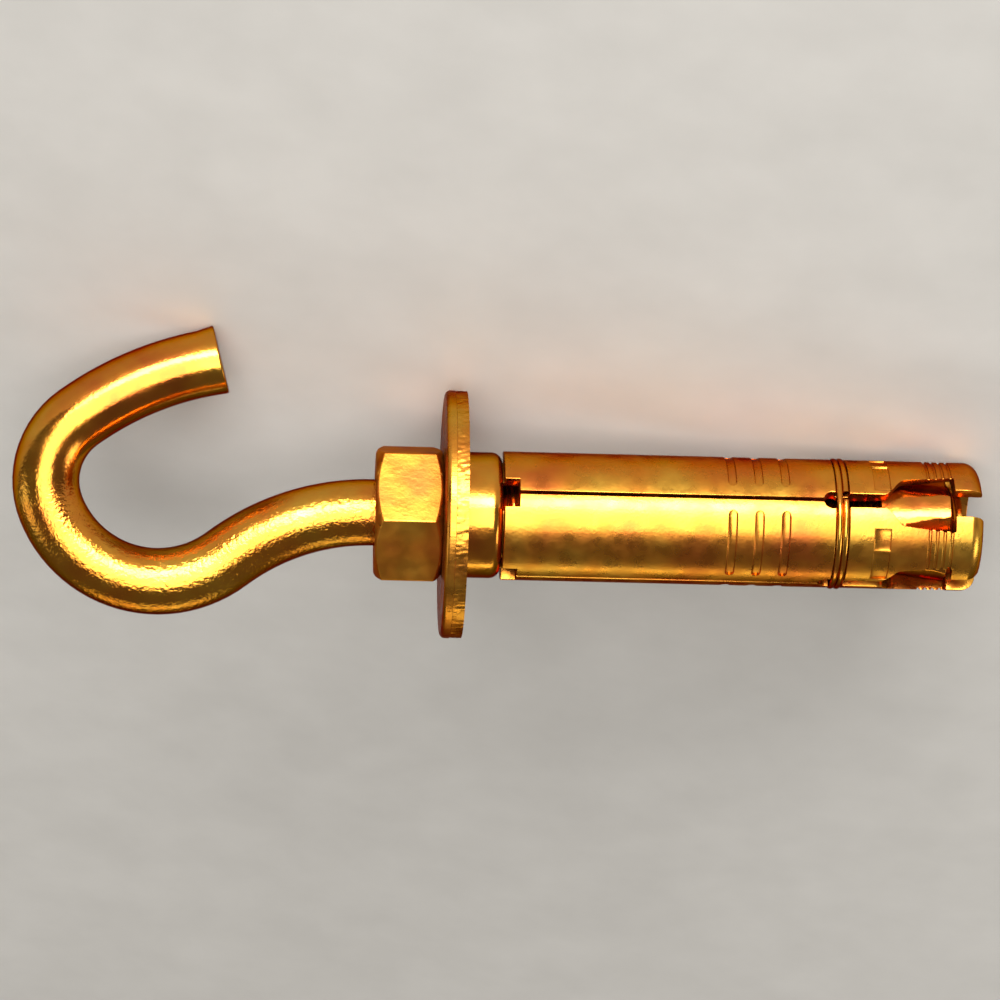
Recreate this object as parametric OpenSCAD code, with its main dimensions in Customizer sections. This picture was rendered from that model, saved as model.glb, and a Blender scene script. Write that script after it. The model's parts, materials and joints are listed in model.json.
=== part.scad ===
// Hook shield anchor. Turning the hex nut draws the hook bolt back, its taper nut
// follows into the four-leaf shield, and the leaves spread to grip the hole.
// Every piece is modelled on the bolt axis: X runs to the nose, the hook lies in XY
// with its tip on the +Y side, and X = 0 is the washer's bearing face.
// The whole anchor then lies as it rests on a table: on washer rim, nose and hook tip.

/* [Hook] */
// Diameter of the plain round bar
bar_d = 10; // [8:0.25:10.75]
// Straight bar showing behind the nut before the swan neck
shank_len = 0.3; // [0.2:0.1:20]
// Centreline radius of the swan neck
neck_r = 35; // [20:1:45]
// Turn of the swan neck away from the bolt axis
neck_angle = 38; // [30:1:44]
// Centreline radius of the main bend
bend_r = 17; // [13:0.5:22]
// Turn of the main bend
bend_angle = 105; // [95:1:115]
// Centreline radius of the crown, the tightest part of the hook
crown_r = 11.5; // [9:0.5:14]
// Turn of the crown
crown_angle = 76; // [68:1:82]
// Centreline radius of the slack curve that ends in the tip
tip_r = 48; // [35:1:60]
// Turn of that curve
tip_angle = 27; // [18:1:36]
// How much each bend draws the bar thinner, in radius
bend_thinning = 0.01; // [0.005:0.001:0.02]
// Length by which each stretch of bar runs on inside the next
bend_lap = 0.2; // [0.1:0.05:0.3]

/* [Bolt thread] */
// Outside diameter of the bolt's thread
thread_d = 12; // [11:0.25:12.5]
// Length of plain bar hidden in the nut before the thread starts
thread_run_in = 0.6; // [0:0.1:3]
// Length of bolt standing out of the taper nut
bolt_tail = 2.2; // [1:0.1:3.5]
// Bevel on the bolt's end
bolt_bevel = 1; // [0.4:0.1:1.4]

/* [Hex nut] */
// Width across flats
nut_af = 19; // [17:0.5:22]
// Height of the nut
nut_h = 10; // [6:0.5:14]
// Diameter of the flat left inside the bevel at each end
nut_face_d = 18; // [15:0.25:18.5]
// Slope of the bevel
nut_bevel_angle = 30; // [15:1:40]
// Depth of the countersink at each end of the nut's bore
nut_sink = 0.8; // [0.2:0.1:1.5]
// Turn of the nut about the bolt, from the hook's own plane normal
nut_turn = -6; // [-30:1:30]

/* [Washer] */
// Outside diameter
washer_d = 37; // [28:0.5:44]
// Thickness
washer_t = 3.25; // [1.5:0.25:4]
// Radius of the edge that the punch rolled over
washer_roll = 0.6; // [0.2:0.1:1.2]

/* [Collar] */
// Outside diameter of the collar that holds the leaves together
collar_d = 18.8; // [18:0.1:20]
// Length of the collar
collar_len = 5.5; // [4:0.25:8]
// Radius of its rounded shield-side edge
collar_round = 1.6; // [0.4:0.1:1.8]
// Thickness of its floor against the washer
collar_floor = 1.8; // [1:0.1:2.5]
// Thickness of its wall round the tongues
collar_wall = 1.4; // [1:0.1:1.8]

/* [Shield] */
// Outside diameter of the four leaves together
shield_d = 19.2; // [18.8:0.1:21]
// Length of the leaves outside the collar
shield_len = 71.2; // [71:0.2:90]
// Turn of the first slot about the bolt, from the hook's own plane normal
slot_turn = 22; // [0:1:45]
// Width of the slots between the leaves
slot_w = 0.5; // [0.3:0.1:1]
// Length of each leaf's tongue in the collar
tongue_len = 3; // [1.5:0.1:3.1]
// Length of the notch at each corner of the mouth
notch_len = 2.2; // [1:0.1:4]
// Width of that notch in one leaf
notch_w = 2.2; // [1:0.1:3]
// Diameter of the round relief that ends the slot
relief_d = 2.6; // [2.2:0.1:4]
// Centre of the relief, from the mouth
relief_at = 48.5; // [40:0.5:50]
// Width of the slot past the relief, where the thread shows
bay_w = 2.1; // [1.2:0.1:2.6]
// Start of the flare into the window, from the mouth
flare_at = 56.2; // [55:0.1:58]
// Length of the flare
flare_len = 3.2; // [2:0.1:5]
// Width of the window where the flare ends
window_w = 7.4; // [5:0.1:8]
// Width of the window at the lips
window_end_w = 8.7; // [5:0.1:9]
// Length of the lips that close the nose
lip_len = 4.4; // [2.5:0.1:5]
// Gap between two neighbouring lips
lip_gap = 4.1; // [2:0.1:5]
// Diameter inside the lips
lip_d = 14; // [13.4:0.1:15]
// Radius of the rounded nose
nose_round = 2.2; // [0.8:0.1:2.4]

/* [Shield stamping] */
// Number of plain grooves stamped across each leaf
groove_count = 3; // [1:1:5]
// First groove, from the mouth
groove_at = 33.7; // [10:0.1:35]
// Distance from groove to groove
groove_pitch = 3.95; // [2:0.05:5]
// Width of a groove
groove_w = 1.2; // [0.6:0.1:1.6]
// Length of a groove over its round ends
groove_len = 10.4; // [4:0.1:11]
// Near edge of the two pads by the window, from the mouth
pad_at = 54.8; // [53.5:0.1:56.5]
// Length of the pads along the leaf
pad_len = 2.4; // [1:0.1:4]
// Width of the short pad, from the middle of the leaf
pad_short = 3.2; // [1:0.1:4]
// Width of the long pad
pad_long = 5; // [2:0.1:5.2]
// Width of the land between the pads
pad_land = 0.4; // [0.2:0.1:0.8]
// Depth of grooves and pads
stamp_depth = 0.3; // [0.1:0.05:0.6]
// Number of fine rings round the nose
line_count = 4; // [1:1:6]
// First fine ring, from the mouth
line_at = 63; // [60:0.1:63.2]
// Distance from ring to ring
line_pitch = 1.1; // [0.8:0.01:1.2]
// Width of a fine ring
line_w = 0.4; // [0.2:0.05:0.6]
// Depth of a fine ring
line_depth = 0.25; // [0.1:0.05:0.4]

/* [Retaining ring] */
// Diameter of the spring wire
wire_d = 0.95; // [0.6:0.05:1.2]
// Middle of the two turns, from the mouth
ring_at = 50; // [45:0.1:52]
// Height of the wire above the leaves
ring_proud = 0.2; // [0:0.05:0.22]
// Share of the wire's diameter between the turns' centres
ring_turn_pitch = 0.96; // [0.9:0.01:1]
// Arc left open between the wire's ends
ring_end_gap = 8; // [4:1:30]
// Room under the wire that lets the leaves open
spring_room = 0.95; // [0.9:0.01:1]

/* [Taper nut] */
// Length of the taper nut
taper_len = 10.2; // [8:0.1:10.6]
// Diameter of its small end
taper_small_d = 13.8; // [13.4:0.1:14.2]
// Diameter of its big end
taper_big_d = 16.4; // [15.8:0.1:16.8]
// Width across its four flats
taper_af = 13.7; // [13.4:0.1:16]

/* [Fits] */
// Gap round the thread in hex nut and taper nut
thread_fit = 0.1; // [0.05:0.01:0.3]
// Gap round the thread in the washer
washer_fit = 0.5; // [0.2:0.1:1]
// Gap round the thread in the collar
collar_fit = 0.3; // [0.1:0.05:0.5]
// Gap round the thread inside the leaves
leaf_fit = 0.6; // [0.4:0.05:0.8]
// Gap between a turning face and its seat
face_gap = 0.05; // [0.02:0.01:0.2]
// Gap between leaves and collar
tongue_fit = 0.15; // [0.1:0.01:0.25]
// Gap on each side of the wire in its groove
ring_fit = 0.1; // [0.05:0.01:0.3]
// Gap between taper nut and leaves at rest
taper_fit = 0.1; // [0.05:0.01:0.3]
// Gap between the taper nut's big end and the lips
lip_fit = 0.5; // [0.2:0.1:1.5]

/* [Hidden] */
$fn = 96;
leaf_count = 4;
hex_sides = 6;
// Overshoot of cutting shapes past the faces that they cut
past = 1;

// Radii on the bolt axis
bar_r = bar_d / 2;
thread_r = thread_d / 2;
washer_r = washer_d / 2;
collar_r = collar_d / 2;
shield_r = shield_d / 2;
leaf_bore_r = thread_r + leaf_fit;
collar_recess_r = collar_r - collar_wall;
tongue_r = collar_recess_r - tongue_fit;
lip_r = lip_d / 2;

// Places along the bolt axis
mouth = collar_len + tongue_fit;
nose = mouth + shield_len;
lips = nose - lip_len;
taper_big_end = lips - lip_fit;
taper_small_end = taper_big_end - taper_len;
bolt_end = taper_big_end + bolt_tail;
nut_seat = -washer_t - face_gap;
nut_back = nut_seat - nut_h;
thread_start = nut_back + thread_run_in;
neck_start = nut_back - shank_len;

// The taper inside the leaves runs parallel to the taper nut
taper_slope = (taper_big_d - taper_small_d) / 2 / taper_len;
seat_r = taper_big_d / 2 + taper_fit;
seat_end_r = seat_r + lip_fit * taper_slope;
seat_start = taper_big_end - (seat_r - leaf_bore_r) / taper_slope;

// Retaining ring and its groove
ring_centre_r = shield_r + ring_proud - wire_d / 2;
ring_half = (1 + ring_turn_pitch) * wire_d / 2 + ring_fit;
ring_floor_r = ring_centre_r - wire_d / 2 - spring_room;

// The hook's centreline: radius and turn of each bend, to the left positive
BENDS = [[neck_r, neck_angle], [bend_r, -bend_angle], [crown_r, -crown_angle], [tip_r, -tip_angle]];
last_bend = len(BENDS) - 1;
function bent_r(i) = bar_r - (i + 1) * bend_thinning;

// Place and heading at the end of the bends that follow bend i
function bends_end(i, place, heading) =
    i == len(BENDS) ? [place, heading] :
    let (r = BENDS[i][0], turn = BENDS[i][1], side = sign(turn), centre = heading + side * 90)
    bends_end(i + 1,
              place + r * [cos(centre) - cos(centre + turn), sin(centre) - sin(centre + turn)],
              heading + turn);
tip = bends_end(0, [neck_start, 0], 180);

// Tilt at which washer edge and rounded nose stand on one level
rest_drop = washer_r - (shield_r - nose_round);
rest_run = nose - nose_round;
tilt = acos(nose_round / norm([rest_drop, rest_run])) - atan2(rest_run, rest_drop);

// Height of the tip's lowest edge over that level, for a roll of the hook about the bolt
function tip_height(roll) =
    let (fall = cos(tip[1]) * sin(tilt) + sin(tip[1]) * sin(roll) * cos(tilt))
    washer_r * cos(tilt) - tip[0][0] * sin(tilt) - tip[0][1] * sin(roll) * cos(tilt)
    - bent_r(last_bend) * sqrt(1 - fall * fall);
// Roll at which the tip touches, found by halving the interval
function touching_roll(low, high, steps) =
    let (mid = (low + high) / 2)
    steps == 0 ? mid :
    tip_height(mid) > 0 ? touching_roll(mid, high, steps - 1) : touching_roll(low, mid, steps - 1);
roll = touching_roll(0, 90, 30);

// Lays a piece down from the bolt axis to its place at rest
module lying() {
    rotate([-roll, tilt, 0]) children();
}

// Turns a shape made about Z onto the bolt axis, with angles counted from the hook's plane normal
module on_bolt(turn = 0) {
    rotate([0, 90, 0]) rotate([0, 0, 180 - turn]) children();
}

// A quarter disc that rounds the outer corner of a turned profile
module rounded_corner(r, end, round) {
    intersection() {
        translate([r - round, end - round]) circle(round);
        translate([r - round, end - round]) square(round);
    }
}

// The bar along the hook's bends, from bend i on
module bent_bar(i = 0) {
    if (i <= last_bend) {
        r = BENDS[i][0];
        turn = BENDS[i][1];
        side = sign(turn);
        sweep = abs(turn) + (i < last_bend ? bend_lap / r * 180 / PI : 0);
        translate([0, side * r, 0])
            rotate([0, 0, side > 0 ? -90 : 90 - sweep])
                rotate_extrude(angle = sweep) translate([r, 0]) circle(bent_r(i));
        translate([r * sin(abs(turn)), side * r * (1 - cos(turn)), 0])
            rotate([0, 0, turn]) bent_bar(i + 1);
    }
}

module hook_bolt() {
    color("goldenrod") lying() {
        translate([neck_start, 0, 0]) rotate([0, 0, 180]) bent_bar();
        on_bolt() {
            translate([0, 0, neck_start - bend_lap])
                cylinder(r = bar_r, h = thread_start - neck_start + bend_lap);
            translate([0, 0, thread_start]) cylinder(r = thread_r, h = bolt_end - bolt_bevel - thread_start);
            translate([0, 0, bolt_end - bolt_bevel])
                cylinder(r1 = thread_r, r2 = thread_r - bolt_bevel, h = bolt_bevel);
        }
    }
}

// The blank that the bevels of the hex nut leave
module nut_bevels() {
    corner_r = nut_af / 2 / cos(180 / hex_sides);
    bevel_h = (corner_r - nut_face_d / 2) * tan(nut_bevel_angle);
    rotate_extrude() polygon([[0, 0], [nut_face_d / 2, 0], [corner_r, bevel_h],
                              [corner_r, nut_h - bevel_h], [nut_face_d / 2, nut_h], [0, nut_h]]);
}

module hex_nut() {
    bore_r = thread_r + thread_fit;
    color("gold") lying() on_bolt(nut_turn) translate([0, 0, nut_back]) difference() {
        intersection() {
            cylinder(d = nut_af / cos(180 / hex_sides), h = nut_h, $fn = hex_sides);
            nut_bevels();
        }
        translate([0, 0, -past]) cylinder(r = bore_r, h = nut_h + 2 * past);
        for (end = [0, 1])
            translate([0, 0, end * nut_h]) mirror([0, 0, end])
                cylinder(r1 = bore_r + nut_sink, r2 = bore_r, h = nut_sink);
    }
}

module washer() {
    color("darkgoldenrod") lying() on_bolt() translate([0, 0, -washer_t]) difference() {
        rotate_extrude() {
            square([washer_r - washer_roll, washer_t]);
            translate([0, washer_roll]) square([washer_r, washer_t - washer_roll]);
            mirror([0, 1]) translate([0, -2 * washer_roll])
                rounded_corner(washer_r, 2 * washer_roll, washer_roll);
        }
        translate([0, 0, -past]) cylinder(r = thread_r + washer_fit, h = washer_t + 2 * past);
    }
}

// A drawn cup: floor against the washer, wall round the tongues of the leaves
module collar() {
    color("goldenrod") lying() on_bolt() difference() {
        rotate_extrude() {
            square([collar_r - collar_round, collar_len]);
            square([collar_r, collar_len - collar_round]);
            rounded_corner(collar_r, collar_len, collar_round);
        }
        translate([0, 0, collar_floor]) cylinder(r = collar_recess_r, h = collar_len);
        translate([0, 0, -past]) cylinder(r = thread_r + collar_fit, h = collar_len);
    }
}

// Section through a leaf: radius across, bolt axis up
module leaf_section() {
    difference() {
        union() {
            polygon([[leaf_bore_r, mouth - tongue_len], [tongue_r, mouth - tongue_len], [tongue_r, mouth],
                     [shield_r, mouth], [shield_r, nose - nose_round], [shield_r - nose_round, nose],
                     [lip_r, nose], [lip_r, lips], [seat_end_r, lips], [leaf_bore_r, seat_start]]);
            rounded_corner(shield_r, nose, nose_round);
        }
        translate([ring_floor_r, mouth + ring_at - ring_half]) square([shield_r, 2 * ring_half]);
        for (i = [0 : line_count - 1])
            translate([shield_r - line_depth, mouth + line_at + i * line_pitch - line_w / 2])
                square([shield_r, line_w]);
    }
}

// Half width of the flare, eased in and out along its length
function flare_half(u) = (bay_w + (window_w - bay_w) * (1 - cos(180 * u)) / 2) / 2;

// What is open between two leaves, laid flat: across the slot, and along the bolt axis
module slot_outline() {
    flare_steps = 12;
    flare = [for (i = [0 : flare_steps])
             [flare_half(i / flare_steps), mouth + flare_at + flare_len * i / flare_steps]];
    half = concat([[bay_w / 2, mouth + relief_at]], flare, [[window_end_w / 2, lips]]);
    translate([-slot_w / 2, -past]) square([slot_w, nose + 2 * past]);
    translate([-notch_w, mouth - tongue_len - past])
        square([2 * notch_w, tongue_len + notch_len + past]);
    translate([0, mouth + relief_at]) circle(d = relief_d);
    polygon(concat(half, [for (i = [len(half) - 1 : -1 : 0]) [-half[i][0], half[i][1]]]));
    translate([-lip_gap / 2, lips - past]) square([lip_gap, lip_len + 2 * past]);
}

// What the press sinks into a leaf, laid flat: across the leaf, and along the bolt axis
module stamping_outline() {
    end_at = (groove_len - groove_w) / 2;
    for (i = [0 : groove_count - 1])
        translate([0, mouth + groove_at + i * groove_pitch]) {
            square([2 * end_at, groove_w], center = true);
            for (side = [-1, 1]) translate([side * end_at, 0]) circle(d = groove_w);
        }
    translate([-pad_short, mouth + pad_at]) square([pad_short, pad_len]);
    translate([pad_land, mouth + pad_at]) square([pad_long, pad_len]);
}

// One pressed leaf: quarter tube with tongue, notches, stamping, bay, flared window and lip
module shield_leaf(number) {
    span = 360 / leaf_count;
    color(number % 2 == 0 ? "gold" : "goldenrod") lying() on_bolt(slot_turn + span * (number - 1))
        difference() {
            rotate_extrude(angle = span) leaf_section();
            for (edge = [0, span])
                rotate([90, 0, 90 + edge]) linear_extrude(shield_r + past) slot_outline();
            difference() {
                rotate([90, 0, 90 + span / 2]) linear_extrude(shield_r + past) stamping_outline();
                cylinder(r = shield_r - stamp_depth, h = nose);
            }
        }
}

// Two turns of spring wire side by side, the second one open between its ends
module retaining_ring() {
    color("khaki") lying() on_bolt(slot_turn) translate([0, 0, mouth + ring_at]) {
        step = ring_turn_pitch * wire_d / 2;
        translate([0, 0, -step]) rotate_extrude() translate([ring_centre_r, 0]) circle(d = wire_d);
        translate([0, 0, step])
            rotate_extrude(angle = 360 - ring_end_gap) translate([ring_centre_r, 0]) circle(d = wire_d);
    }
}

// The taper that spreads the leaves: a cone turned on square bar
module taper_nut() {
    color("darkgoldenrod") lying() on_bolt(slot_turn) translate([0, 0, taper_small_end]) difference() {
        intersection() {
            cylinder(d1 = taper_small_d, d2 = taper_big_d, h = taper_len);
            rotate([0, 0, 45]) translate([-taper_af / 2, -taper_af / 2, 0]) cube([taper_af, taper_af, taper_len]);
        }
        translate([0, 0, -past]) cylinder(r = thread_r + thread_fit, h = taper_len + 2 * past);
    }
}

hook_bolt();
hex_nut();
washer();
collar();
shield_leaf(1);  // shield_leaf_1
shield_leaf(2);  // shield_leaf_2
shield_leaf(3);  // shield_leaf_3
shield_leaf(4);  // shield_leaf_4
retaining_ring();
taper_nut();
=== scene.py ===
"""A hook shield anchor in yellow-passivated steel: its looks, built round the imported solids."""
import json
import math

import bmesh
import bpy
from mathutils import Matrix, Vector, noise


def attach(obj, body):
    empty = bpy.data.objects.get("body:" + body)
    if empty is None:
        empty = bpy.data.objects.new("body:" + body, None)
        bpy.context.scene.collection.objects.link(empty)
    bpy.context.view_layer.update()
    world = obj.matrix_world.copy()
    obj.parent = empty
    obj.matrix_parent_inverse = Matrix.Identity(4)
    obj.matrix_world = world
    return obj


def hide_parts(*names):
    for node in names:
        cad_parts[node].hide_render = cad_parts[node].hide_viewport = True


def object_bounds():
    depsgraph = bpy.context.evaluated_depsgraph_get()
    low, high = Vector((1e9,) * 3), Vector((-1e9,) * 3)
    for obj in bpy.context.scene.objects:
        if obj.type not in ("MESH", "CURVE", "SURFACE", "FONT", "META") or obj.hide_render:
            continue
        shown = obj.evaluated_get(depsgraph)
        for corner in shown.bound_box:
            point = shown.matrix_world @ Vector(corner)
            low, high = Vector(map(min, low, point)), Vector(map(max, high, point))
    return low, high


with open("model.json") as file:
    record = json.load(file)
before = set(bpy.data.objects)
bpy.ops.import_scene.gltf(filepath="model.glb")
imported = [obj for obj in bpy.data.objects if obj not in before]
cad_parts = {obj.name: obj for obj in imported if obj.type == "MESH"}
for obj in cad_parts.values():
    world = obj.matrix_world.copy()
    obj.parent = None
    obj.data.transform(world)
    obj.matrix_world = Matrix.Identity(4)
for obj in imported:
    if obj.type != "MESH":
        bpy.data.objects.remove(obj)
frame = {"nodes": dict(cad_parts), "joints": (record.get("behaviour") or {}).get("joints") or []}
CAD_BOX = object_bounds()
scene = bpy.context.scene
JOINTS = {joint["name"]: joint for joint in frame["joints"]}

# Sizes in millimetres on the bolt axis: X runs to the nose, the hook's tip is on the +Y side,
# +Z faces the eye, and X = 0 is the washer's bearing face.
MM = 0.001
BAR_R = 4.96
SHANK_START = -13.0
NECK_START = -13.6
# Radius and turn of each bend from the nut to the tip, to the left positive
BENDS = ((35, 38), (17, -105), (11.5, -76), (48, -27))
BEND_STEP = 1.2
BAR_SIDES = 64
TIP_EDGE = 0.3
# The sheared tip leans out at its inner side and is pushed up into a burr at its outer side
TIP_LEAN = 0.9
BURR = 0.4
BURR_LEN = 2.6
SHARP_ANGLE = math.radians(35)

THREAD_START = -12.7
THREAD_END = 74.15
THREAD_R = 5.98
THREAD_BEVEL = 1.0
PITCH = 1.75
STEPS_A_TURN = 48
# One pitch of a rolled thread: share of the pitch along the bolt, and depth below the crest
THREAD_FORM = ((0, 0.93), (0.125, 0.98), (0.25, 0.93), (0.55, 0.07), (0.625, 0), (0.70, 0.07), (1, 0.93))

WASHER_T = 3.25
WASHER_R = 18.5
WASHER_BORE_R = 6.5
WASHER_BORE_EDGE = 0.3
# Its rim from the hook side: an edge rolled over by the punch, a burnished band, then a torn band
WASHER_ROLL = 0.8
BURNISH_W = 0.7
BURNISH_STEP = 0.05
WASHER_SIDES = 480
TORN_STEPS = 6
TORN_DEPTH = 0.12
# Width of a tear round the rim, and how much finer it is there than across the thickness
TEAR_W = 0.4
TEAR_STRETCH = 0.7

COLLAR_R = 9.4
COLLAR_LEN = 5.5
COLLAR_ROUND = 1.6
COLLAR_FLOOR = 1.8
COLLAR_BORE_R = 6.3
COLLAR_RECESS_R = 8.0
COLLAR_FOOT = 0.4
COLLAR_SIDES = 160

# The spring wire: middle of its two turns along the bolt, and radius to the wire's own middle
RING_AT = 55.65
RING_R = 9.325
WIRE_R = 0.475
WIRE_STEP = 0.456
WIRE_SIDES = 20
RING_STEPS = 180
# Where the wire's ends stand round the bolt, from the eye, and the gap between them
RING_TURN = math.radians(22)
WIRE_GAP = math.radians(8)

SHIELD_R = 9.6
# A face is on the shield's round if its corners are this near to it and it looks this nearly outwards
ROUND_SLACK = 0.03
ROUND_FACING = 0.98
# The stamped grooves: their stretch along the bolt, their floor's radius, and the punch's rounding
GROOVES = (38.0, 48.6)
GROOVE_FLOOR_R = 9.3
PUNCH_ROUND = 0.14
# Where the middle of leaf 1 stands round the bolt, from the eye towards the tip's side
LEAF_1_MIDDLE = math.radians(-23)

# Corners this near are one, and faces of a CAD node's copy this nearly level are one
SAME_CORNER = 0.002
LEVEL_ANGLE = math.radians(0.5)

# The studio, in metres
FLOOR_HALF = 6.0
LAMP_DISTANCE = 1.5

# The picture: 1000 pixels square, 6.7 pixels a millimetre at the bolt axis
PIXELS = 1000
PIXELS_A_MM = 6.7
EYE_DISTANCE = 560
EYE_TILT = math.radians(3.0)
PICTURE_TURN = math.radians(1.42)
ORIGIN_PIXEL = (463.75, 514.6)


# The bolt's own frame as it lies, read from the joints
to_nose = -Vector(JOINTS["bolt_draw"]["axis"])
leaf_1_hinge = Vector(JOINTS["leaf_1_swing"]["axis"])
leaf_1_out = leaf_1_hinge.cross(to_nose)
to_eye = math.cos(LEAF_1_MIDDLE) * leaf_1_out + math.sin(LEAF_1_MIDDLE) * leaf_1_hinge
to_tip_side = to_eye.cross(to_nose)
LYING = Matrix((to_nose, to_tip_side, to_eye)).transposed().to_4x4()


def linear(hex_colour, alpha=1.0):
    """A colour socket's value from an sRGB hex colour."""
    channels = [int(hex_colour[i:i + 2], 16) / 255 for i in (1, 3, 5)]
    return [c / 12.92 if c <= 0.04045 else ((c + 0.055) / 1.055) ** 2.4 for c in channels] + [alpha]


def add(tree, kind, inputs, **settings):
    """A shader node of that kind with its settings; each input gets a value or a link."""
    made = tree.nodes.new("ShaderNode" + kind)
    for name, value in settings.items():
        setattr(made, name, value)
    for name, value in inputs.items():
        if isinstance(value, bpy.types.NodeSocket):
            tree.links.new(value, made.inputs[name])
        else:
            made.inputs[name].default_value = value
    return made


def blank_material(name):
    """An empty material and its node tree."""
    material = bpy.data.materials.new(name)
    material.use_nodes = True
    material.node_tree.nodes.clear()
    return material, material.node_tree


def bolt_millimetres(tree):
    """Object coordinates turned back onto the bolt axis, in millimetres."""
    coords = add(tree, "TexCoord", {})
    turned_back = LYING.inverted().to_euler()
    return add(tree, "Mapping", {"Vector": coords.outputs["Object"], "Rotation": turned_back,
                                 "Scale": (1 / MM, 1 / MM, 1 / MM)}).outputs["Vector"]


# Zinc plate under a yellow chromate film: a mirror-bright metal whose thin film drifts between
# rose, gold and green-gold from place to place, over the faint orange peel of the plating.
FILM_ROSE = "#C46C2E"
FILM_GOLD = "#CF8630"
FILM_GREEN = "#CE993A"
FILM_EDGE = "#7A2A0C"
# Widths in millimetres of the film's drift, of its clouds of gloss and of the peel, and the peel's
# depth. The peel is drawn coarser than the real one, of about 0.1 mm, so that it shows.
FILM_DRIFT = 9
GLOSS_CLOUD = 2.5
PEEL_W = 0.5
PEEL_DEPTH = 0.02
# A wave texture's own spacing at a scale of 1
WAVE_SPACING = math.tau / 20


def passivated(tree, place, marks, marks_depth, smooth, rough):
    """Finishes a tree with the passivated plating over marks in the steel, depth in millimetres."""
    film = add(tree, "TexNoise", {"Vector": place, "Scale": 1 / FILM_DRIFT, "Detail": 3.0})
    colour = add(tree, "ValToRGB", {"Fac": film.outputs["Fac"]})
    stops = colour.color_ramp.elements
    stops[0].position, stops[0].color = 0.3, linear(FILM_ROSE)
    stops[1].position, stops[1].color = 0.7, linear(FILM_GREEN)
    middle = stops.new(0.5)
    middle.color = linear(FILM_GOLD)
    cloud = add(tree, "TexNoise", {"Vector": place, "Scale": 1 / GLOSS_CLOUD, "Detail": 4.0})
    gloss = add(tree, "MapRange", {"Value": cloud.outputs["Fac"], "From Min": 0.35, "From Max": 0.65,
                                   "To Min": smooth, "To Max": rough})
    peel = add(tree, "TexNoise", {"Vector": place, "Scale": 1 / PEEL_W, "Detail": 2.0})
    peel_bump = add(tree, "Bump", {"Height": peel.outputs["Fac"], "Strength": 1.0,
                                   "Distance": PEEL_DEPTH * MM})
    bump = add(tree, "Bump", {"Height": marks, "Strength": 1.0, "Distance": marks_depth * MM,
                              "Normal": peel_bump.outputs["Normal"]})
    steel = add(tree, "BsdfPrincipled", {"Base Color": colour.outputs["Color"], "Metallic": 1.0,
                                         "Roughness": gloss.outputs["Result"],
                                         "Specular Tint": linear(FILM_EDGE),
                                         "Normal": bump.outputs["Normal"]})
    add(tree, "OutputMaterial", {"Surface": steel.outputs["BSDF"]})


def bent_bar_steel():
    """Cold-drawn round bar, bent and plated: the bends crinkle the skin into fine orange peel."""
    material, tree = blank_material("Bent_bar_passivated_steel")
    place = bolt_millimetres(tree)
    crinkle = add(tree, "TexNoise", {"Vector": place, "Scale": 1 / 0.6, "Detail": 3.0,
                                     "Roughness": 0.55})
    across = add(tree, "SeparateXYZ", {"Vector": place})
    share = add(tree, "MapRange", {"Value": across.outputs["Y"], "From Min": 9.0, "From Max": 0.0,
                                   "To Min": 0.15, "To Max": 1.0})
    marks = add(tree, "Math", {0: crinkle.outputs["Fac"], 1: share.outputs["Result"]},
                operation="MULTIPLY")
    passivated(tree, place, marks.outputs["Value"], 0.11, 0.14, 0.22)
    return material


def rolled_thread_steel():
    """Rolled thread: burnished by the dies, so smoother and brighter than the bar."""
    material, tree = blank_material("Rolled_thread_passivated_steel")
    place = bolt_millimetres(tree)
    rolled = add(tree, "TexNoise", {"Vector": place, "Scale": 1 / 0.4, "Detail": 2.0})
    passivated(tree, place, rolled.outputs["Fac"], 0.006, 0.16, 0.26)
    return material


def forged_nut_steel():
    """Cold-forged nut: flats dragged by the die into short scuffs along the bolt."""
    material, tree = blank_material("Forged_nut_passivated_steel")
    place = bolt_millimetres(tree)
    drag = add(tree, "Mapping", {"Vector": place, "Scale": (0.6, 1.0, 1.0)})
    scuffs = add(tree, "TexNoise", {"Vector": drag.outputs["Vector"], "Scale": 1 / 1.2, "Detail": 5.0})
    passivated(tree, place, scuffs.outputs["Fac"], 0.05, 0.34, 0.46)
    return material


def punched_washer_steel():
    """Washer punched from strip: rolled faces, and a torn rim with lines across the thickness."""
    material, tree = blank_material("Punched_washer_passivated_steel")
    place = bolt_millimetres(tree)
    across = add(tree, "Mapping", {"Vector": place, "Scale": (0.12, 1.0, 1.0)})
    tears = add(tree, "TexNoise", {"Vector": across.outputs["Vector"], "Scale": 1 / 0.5, "Detail": 4.0})
    passivated(tree, place, tears.outputs["Fac"], 0.03, 0.22, 0.36)
    return material


def drawn_collar_steel():
    """Deep-drawn cup: ironed smooth, with faint draw lines along its wall."""
    material, tree = blank_material("Drawn_collar_passivated_steel")
    place = bolt_millimetres(tree)
    along = add(tree, "Mapping", {"Vector": place, "Scale": (0.06, 1.0, 1.0)})
    draw_lines = add(tree, "TexNoise", {"Vector": along.outputs["Vector"], "Scale": 1 / 0.5,
                                        "Detail": 3.0})
    passivated(tree, place, draw_lines.outputs["Fac"], 0.008, 0.16, 0.26)
    return material


def pressed_leaf_steel():
    """Leaf pressed from strip: mill-rolled skin with faint streaks along the leaf."""
    material, tree = blank_material("Pressed_leaf_passivated_steel")
    place = bolt_millimetres(tree)
    along = add(tree, "Mapping", {"Vector": place, "Scale": (0.08, 1.0, 1.0)})
    streaks = add(tree, "TexNoise", {"Vector": along.outputs["Vector"], "Scale": 1 / 0.8, "Detail": 4.0})
    passivated(tree, place, streaks.outputs["Fac"], 0.01, 0.24, 0.36)
    return material


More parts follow.
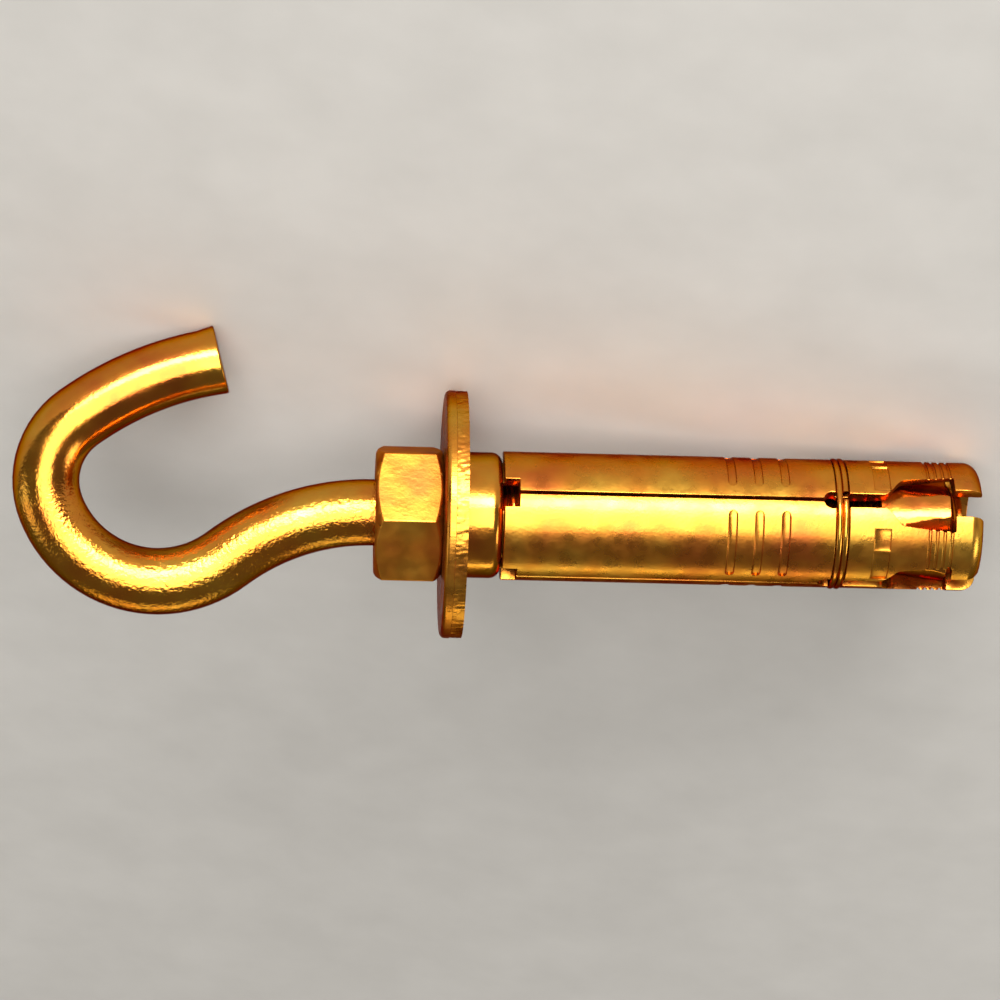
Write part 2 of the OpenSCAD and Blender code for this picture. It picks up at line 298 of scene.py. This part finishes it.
def spring_wire_steel():
    """Hard-drawn spring wire: bright, with a fine grain from the die."""
    material, tree = blank_material("Drawn_spring_wire")
    place = bolt_millimetres(tree)
    grain = add(tree, "TexNoise", {"Vector": place, "Scale": 1 / 0.3, "Detail": 2.0})
    passivated(tree, place, grain.outputs["Fac"], 0.005, 0.16, 0.26)
    return material


def turned_taper_steel():
    """Turned taper nut: fine tool lines round the bolt, drawn about twice as coarse so that they show."""
    material, tree = blank_material("Turned_taper_passivated_steel")
    place = bolt_millimetres(tree)
    feed = add(tree, "TexWave", {"Vector": place, "Scale": WAVE_SPACING / 0.35, "Distortion": 0.6},
               wave_type="BANDS", bands_direction="X")
    passivated(tree, place, feed.outputs["Fac"], 0.004, 0.14, 0.26)
    return material


def pale_floor():
    """Matt laminate: pale warm grey with a faint mottle."""
    material, tree = blank_material("Matt_laminate_floor")
    coords = add(tree, "TexCoord", {})
    mottle = add(tree, "TexNoise", {"Vector": coords.outputs["Object"], "Scale": 1 / (12 * MM),
                                    "Detail": 4.0})
    colour = add(tree, "ValToRGB", {"Fac": mottle.outputs["Fac"]})
    stops = colour.color_ramp.elements
    stops[0].position, stops[0].color = 0.3, linear("#C0BDB7")
    stops[1].position, stops[1].color = 0.7, linear("#C6C3BD")
    laminate = add(tree, "BsdfPrincipled", {"Base Color": colour.outputs["Color"], "Roughness": 0.9,
                                            "Specular IOR Level": 0.2})
    add(tree, "OutputMaterial", {"Surface": laminate.outputs["BSDF"]})
    return material


def true_round(mesh, radius):
    """Gives the faces that lie on a round surface about the bolt the exact normals of that round."""
    back = LYING.inverted()
    places = [back @ vert.co / MM for vert in mesh.vertices]
    normals = [corner.vector.copy() for corner in mesh.corner_normals]
    for face in mesh.polygons:
        rounds = [places[i].yz for i in face.vertices]
        if all(abs(spot.length - radius) < ROUND_SLACK for spot in rounds):
            for corner, spot in zip(face.loop_indices, rounds):
                outward = LYING.to_3x3() @ Vector((0, *spot.normalized()))
                if outward.dot(face.normal) > ROUND_FACING:
                    normals[corner] = outward
    mesh.normals_split_custom_set(normals)


def finish_piece(name, bm, materials, node, body, round_r=None):
    """Makes the finished object of a mesh in its place; it stands for the node and rides the body."""
    mesh = bpy.data.meshes.new(name)
    bm.to_mesh(mesh)
    bm.free()
    mesh.shade_smooth()
    mesh.set_sharp_from_angle(angle=SHARP_ANGLE)
    for material in materials:
        mesh.materials.append(material)
    piece = bpy.data.objects.new(name, mesh)
    scene.collection.objects.link(piece)
    if round_r:
        true_round(mesh, round_r)
    else:
        piece.modifiers.new("Even_normals", "WEIGHTED_NORMAL").keep_sharp = True
    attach(piece, body)
    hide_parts(node)
    return piece


def lay_down(bm):
    """Takes a mesh from millimetres on the bolt axis to its place as it lies, in metres."""
    bmesh.ops.transform(bm, matrix=LYING @ Matrix.Scale(MM, 4), verts=bm.verts)
    return bm


def outline(bm, points, closed):
    """Edges through points of the plane that holds the bolt axis: place along it, and radius."""
    verts = [bm.verts.new((x, r, 0)) for x, r in points]
    edges = [bm.edges.new(pair) for pair in zip(verts, verts[1:])]
    if closed:
        edges.append(bm.edges.new((verts[-1], verts[0])))
    return verts + edges


def turned(points, steps):
    """A closed outline turned all the way round the bolt axis."""
    bm = bmesh.new()
    bmesh.ops.spin(bm, geom=outline(bm, points, True), cent=(0, 0, 0), axis=(1, 0, 0),
                   angle=math.tau, steps=steps, use_merge=True)
    bmesh.ops.recalc_face_normals(bm, faces=bm.faces)
    return bm


def arc(centre, radius, start, end, steps):
    """Points on a rounded corner of an outline, angles in degrees from the bolt axis."""
    angles = [math.radians(start + (end - start) * i / steps) for i in range(steps + 1)]
    return [(centre[0] + radius * math.cos(a), centre[1] + radius * math.sin(a)) for a in angles]


def among_grooves(vert):
    """True for a corner of the leaves' stamped grooves."""
    x, y, z = LYING.inverted() @ vert.co / MM
    return GROOVES[0] < x < GROOVES[1] and math.hypot(y, z) > GROOVE_FLOOR_R - 0.05


def softened(node, edge_mm):
    """A copy of a CAD node whose sharp edges are rounded over, as plating and tumbling leave them."""
    bm = bmesh.new()
    bm.from_mesh(frame["nodes"][node].data)
    bmesh.ops.remove_doubles(bm, verts=bm.verts, dist=SAME_CORNER * MM)
    bmesh.ops.dissolve_limit(bm, angle_limit=LEVEL_ANGLE, verts=bm.verts, edges=bm.edges)
    sharp = [edge for edge in bm.edges if edge.is_manifold and edge.calc_face_angle() > SHARP_ANGLE]
    punched = {edge: all(among_grooves(vert) for vert in edge.verts) for edge in sharp}
    plain = [edge for edge in sharp if not punched[edge]]
    stamped = [edge for edge in sharp if punched[edge]]
    for edges, rounding in ((plain, edge_mm), (stamped, PUNCH_ROUND)):
        bmesh.ops.bevel(bm, geom=edges, offset=rounding * MM, offset_type="OFFSET", segments=2,
                        profile=0.5, affect="EDGES", material=-1)
    return bm


def only(kind, geom):
    """The parts of that kind in what an operator gives back."""
    return [part for part in geom if isinstance(part, kind)]


def rolled_thread(bm):
    """A helical thread along the bolt with a bevelled end; gives the edges of its open start."""
    form = [(THREAD_START - PITCH + share * PITCH, THREAD_R - down) for share, down in THREAD_FORM]
    bmesh.ops.spin(bm, geom=outline(bm, form, False), cent=(0, 0, 0), axis=(1, 0, 0),
                   dvec=(PITCH / STEPS_A_TURN, 0, 0), angle=math.tau, steps=STEPS_A_TURN)
    one_turn = bm.verts[:] + bm.edges[:] + bm.faces[:]
    for turn in range(1, math.ceil((THREAD_END - THREAD_START) / PITCH) + 2):
        copy = bmesh.ops.duplicate(bm, geom=one_turn)["geom"]
        bmesh.ops.translate(bm, vec=(turn * PITCH, 0, 0), verts=only(bmesh.types.BMVert, copy))
    bmesh.ops.remove_doubles(bm, verts=bm.verts, dist=SAME_CORNER)
    ends = []
    for place, outward in ((THREAD_START, -1), (THREAD_END, 1)):
        cut = bmesh.ops.bisect_plane(bm, geom=bm.verts[:] + bm.edges[:] + bm.faces[:], dist=0.0001,
                                     plane_co=(place, 0, 0), plane_no=(outward, 0, 0), clear_outer=True)
        ends.append(only(bmesh.types.BMEdge, cut["geom_cut"]))
    for vert in bm.verts:
        room = THREAD_R - max(0, vert.co.x - (THREAD_END - THREAD_BEVEL))
        radius = math.hypot(vert.co.y, vert.co.z)
        if radius > room:
            vert.co.yz = vert.co.yz * room / radius
    bmesh.ops.edgeloop_fill(bm, edges=ends[1])
    return ends[0]


def bent_bar(bm):
    """Round bar spun through its bends to a sheared tip; gives the edges of its open start."""
    upright = Matrix.Translation((SHANK_START, 0, 0)) @ Matrix.Rotation(math.pi / 2, 4, "Y")
    circle = bmesh.ops.create_circle(bm, segments=BAR_SIDES, radius=BAR_R, matrix=upright)["verts"]
    start = list(dict.fromkeys(edge for vert in circle for edge in vert.link_edges))
    shank = bmesh.ops.extrude_edge_only(bm, edges=start)["geom"]
    bmesh.ops.translate(bm, vec=(NECK_START - SHANK_START, 0, 0), verts=only(bmesh.types.BMVert, shank))
    end = [edge for edge in only(bmesh.types.BMEdge, shank) if not set(edge.verts) & set(circle)]
    place = Vector((NECK_START, 0, 0))
    heading = math.pi
    for radius, turn in BENDS:
        angle = math.radians(turn)
        inward = heading + math.copysign(math.pi / 2, angle)
        centre = place + radius * Vector((math.cos(inward), math.sin(inward), 0))
        spun = bmesh.ops.spin(bm, geom=end, cent=centre, axis=(0, 0, 1), angle=angle,
                              steps=math.ceil(radius * abs(angle) / BEND_STEP))
        end = only(bmesh.types.BMEdge, spun["geom_last"])
        place = centre + Matrix.Rotation(angle, 3, "Z") @ (place - centre)
        heading += angle
    ahead = Vector((math.cos(heading), math.sin(heading), 0))
    outer = Vector((-ahead.y, ahead.x, 0))
    for vert in bm.verts:
        back = (place - vert.co).dot(ahead)
        side = (vert.co - place).dot(outer) / BAR_R
        if back < BURR_LEN and abs(side) < 1.1 and vert.co.y > 0:
            near = 1 - back / BURR_LEN
            vert.co += near * (ahead * TIP_LEAN * (1 - side) / 2 + outer * BURR * max(0, side) ** 2)
    face = bmesh.ops.edgeloop_fill(bm, edges=end)["faces"][0]
    bmesh.ops.bevel(bm, geom=face.edges[:], offset=TIP_EDGE, offset_type="OFFSET", segments=3,
                    profile=0.5, affect="EDGES", material=-1)
    return start


def hook_bolt():
    """One bar: rolled thread, shank and hook."""
    bm = bmesh.new()
    thread_start = rolled_thread(bm)
    for face in bm.faces:
        face.material_index = 1
    bar_start = bent_bar(bm)
    bmesh.ops.bridge_loops(bm, edges=thread_start + bar_start)
    bmesh.ops.recalc_face_normals(bm, faces=bm.faces)
    return lay_down(bm)


def washer():
    """Punched washer: edge rolled over on the hook side, then a burnished band, then a torn one."""
    torn_end = -WASHER_T + WASHER_ROLL + BURNISH_W
    points = [(-WASHER_T, WASHER_BORE_R + WASHER_BORE_EDGE),
              (-WASHER_T + WASHER_BORE_EDGE, WASHER_BORE_R), (0, WASHER_BORE_R)]
    points += [(torn_end * i / TORN_STEPS, WASHER_R - TORN_DEPTH) for i in range(TORN_STEPS + 1)]
    points += [(torn_end - BURNISH_STEP, WASHER_R)]
    points += arc((-WASHER_T + WASHER_ROLL, WASHER_R - WASHER_ROLL), WASHER_ROLL, 90, 180, 6)
    bm = turned(points, WASHER_SIDES)
    for vert in bm.verts:
        if vert.co.x > torn_end - 0.01 and math.hypot(vert.co.y, vert.co.z) > WASHER_R - 2 * TORN_DEPTH:
            spot = Vector((vert.co.x * TEAR_STRETCH, vert.co.y, vert.co.z)) / TEAR_W
            vert.co.yz = vert.co.yz * (1 + TORN_DEPTH * noise.noise(spot) / WASHER_R)
    return lay_down(bm)


def collar():
    """Drawn cup round the leaves' tongues."""
    round_at = (COLLAR_LEN - COLLAR_ROUND, COLLAR_R - COLLAR_ROUND)
    lip_angle = math.degrees(math.asin((COLLAR_RECESS_R - round_at[1]) / COLLAR_ROUND))
    points = [(COLLAR_FLOOR, COLLAR_RECESS_R), (COLLAR_FLOOR, COLLAR_BORE_R), (0, COLLAR_BORE_R)]
    points += arc((COLLAR_FOOT, COLLAR_R - COLLAR_FOOT), COLLAR_FOOT, 180, 90, 4)
    points += arc(round_at, COLLAR_ROUND, 90, lip_angle, 10)
    return lay_down(turned(points, COLLAR_SIDES))


def retaining_ring():
    """Two turns of spring wire side by side, the one towards the nose open between its ends."""
    bm = bmesh.new()
    for side, sweep in ((-1, math.tau), (1, math.tau - WIRE_GAP)):
        at = Matrix.Translation((RING_AT + side * WIRE_STEP, 0, RING_R))
        across_wire = at @ Matrix.Rotation(math.pi / 2, 4, "X")
        wire = bmesh.ops.create_circle(bm, segments=WIRE_SIDES, radius=WIRE_R,
                                       matrix=Matrix.Rotation(-RING_TURN, 4, "X") @ across_wire)
        edges = list(dict.fromkeys(edge for vert in wire["verts"] for edge in vert.link_edges))
        spun = bmesh.ops.spin(bm, geom=edges, cent=(0, 0, 0), axis=(-1, 0, 0), angle=-sweep,
                              steps=RING_STEPS, use_merge=sweep == math.tau)
        if sweep < math.tau:
            bmesh.ops.edgeloop_fill(bm, edges=edges)
            bmesh.ops.edgeloop_fill(bm, edges=only(bmesh.types.BMEdge, spun["geom_last"]))
    bmesh.ops.recalc_face_normals(bm, faces=bm.faces)
    return lay_down(bm)


def softbox(name, size, azimuth, elevation, radiance):
    """A rectangular lamp of that even brightness, aimed at the anchor, hidden from the camera."""
    data = bpy.data.lights.new(name, "AREA")
    data.shape = "RECTANGLE"
    data.size, data.size_y = size
    data.energy = radiance * math.pi * size[0] * size[1]
    lamp = bpy.data.objects.new(name, data)
    a, e = math.radians(azimuth), math.radians(elevation)
    toward = Vector((math.sin(a) * math.cos(e), math.cos(a) * math.cos(e), math.sin(e)))
    lamp.location = LAMP_DISTANCE * toward
    lamp.rotation_euler = toward.to_track_quat("Z", "Y").to_euler()
    lamp.visible_camera = False
    scene.collection.objects.link(lamp)


finish_piece("Hook_bolt", hook_bolt(), (bent_bar_steel(), rolled_thread_steel()),
             "hook_bolt", "bolt")
finish_piece("Hex_nut", softened("hex_nut", 0.2), (forged_nut_steel(),), "hex_nut", "nut")
finish_piece("Washer", washer(), (punched_washer_steel(),), "washer", "collar")
finish_piece("Collar", collar(), (drawn_collar_steel(),), "collar", "collar")
finish_piece("Retaining_ring", retaining_ring(), (spring_wire_steel(),),
             "retaining_ring", "collar")
finish_piece("Taper_nut", softened("taper_nut", 0.12), (turned_taper_steel(),),
             "taper_nut", "bolt")
leaf_steel = pressed_leaf_steel()
for number in (1, 2, 3, 4):
    finish_piece(f"Shield_leaf_{number}", softened(f"shield_leaf_{number}", 0.1), (leaf_steel,),
                 f"shield_leaf_{number}", f"leaf_{number}", SHIELD_R)

# Floor, lamps and camera
bm = bmesh.new()
bmesh.ops.create_grid(bm, x_segments=1, y_segments=1, size=FLOOR_HALF)
bmesh.ops.translate(bm, vec=(0, 0, CAD_BOX[0].z), verts=bm.verts)
floor_mesh = bpy.data.meshes.new("Floor")
bm.to_mesh(floor_mesh)
bm.free()
floor_mesh.materials.append(pale_floor())
floor = bpy.data.objects.new("Floor", floor_mesh)
scene.collection.objects.link(floor)

softbox("Key_softbox", (1.05, 0.42), 0, 9, 30)
softbox("High_softbox", (1.05, 1.0), 0, 38, 6)
softbox("Back_softbox", (1.3, 0.25), 180, 39, 3)
softbox("Nose_side_softbox", (0.6, 0.6), 90, 25, 4)
softbox("Hook_side_softbox", (0.6, 0.6), -90, 25, 1.5)
world = bpy.data.worlds.new("Studio")
scene.world = world
world.use_nodes = True
world.node_tree.nodes["Background"].inputs["Color"].default_value = linear("#FFF4E6")
world.node_tree.nodes["Background"].inputs["Strength"].default_value = 0.15

level = Vector((math.cos(EYE_TILT), 0, math.sin(EYE_TILT)))
toward_eye = Vector((-math.sin(EYE_TILT), 0, math.cos(EYE_TILT)))
across = Vector((0, 1, 0))
picture_right = math.cos(PICTURE_TURN) * level + math.sin(PICTURE_TURN) * across
picture_up = math.cos(PICTURE_TURN) * across - math.sin(PICTURE_TURN) * level
right_by, down_by = ((PIXELS / 2 - pixel) / PIXELS_A_MM for pixel in ORIGIN_PIXEL)
centre = right_by * picture_right - down_by * picture_up
axes = Matrix((picture_right, picture_up, toward_eye)).transposed().to_4x4()
camera_data = bpy.data.cameras.new("Camera")
camera_data.lens = camera_data.sensor_width * EYE_DISTANCE * PIXELS_A_MM / PIXELS
camera_data.clip_start = 0.01
camera = bpy.data.objects.new("Camera", camera_data)
camera.matrix_world = LYING @ Matrix.Translation(MM * (centre + EYE_DISTANCE * toward_eye)) @ axes
scene.collection.objects.link(camera)
scene.camera = camera
scene.view_settings.view_transform = "Standard"
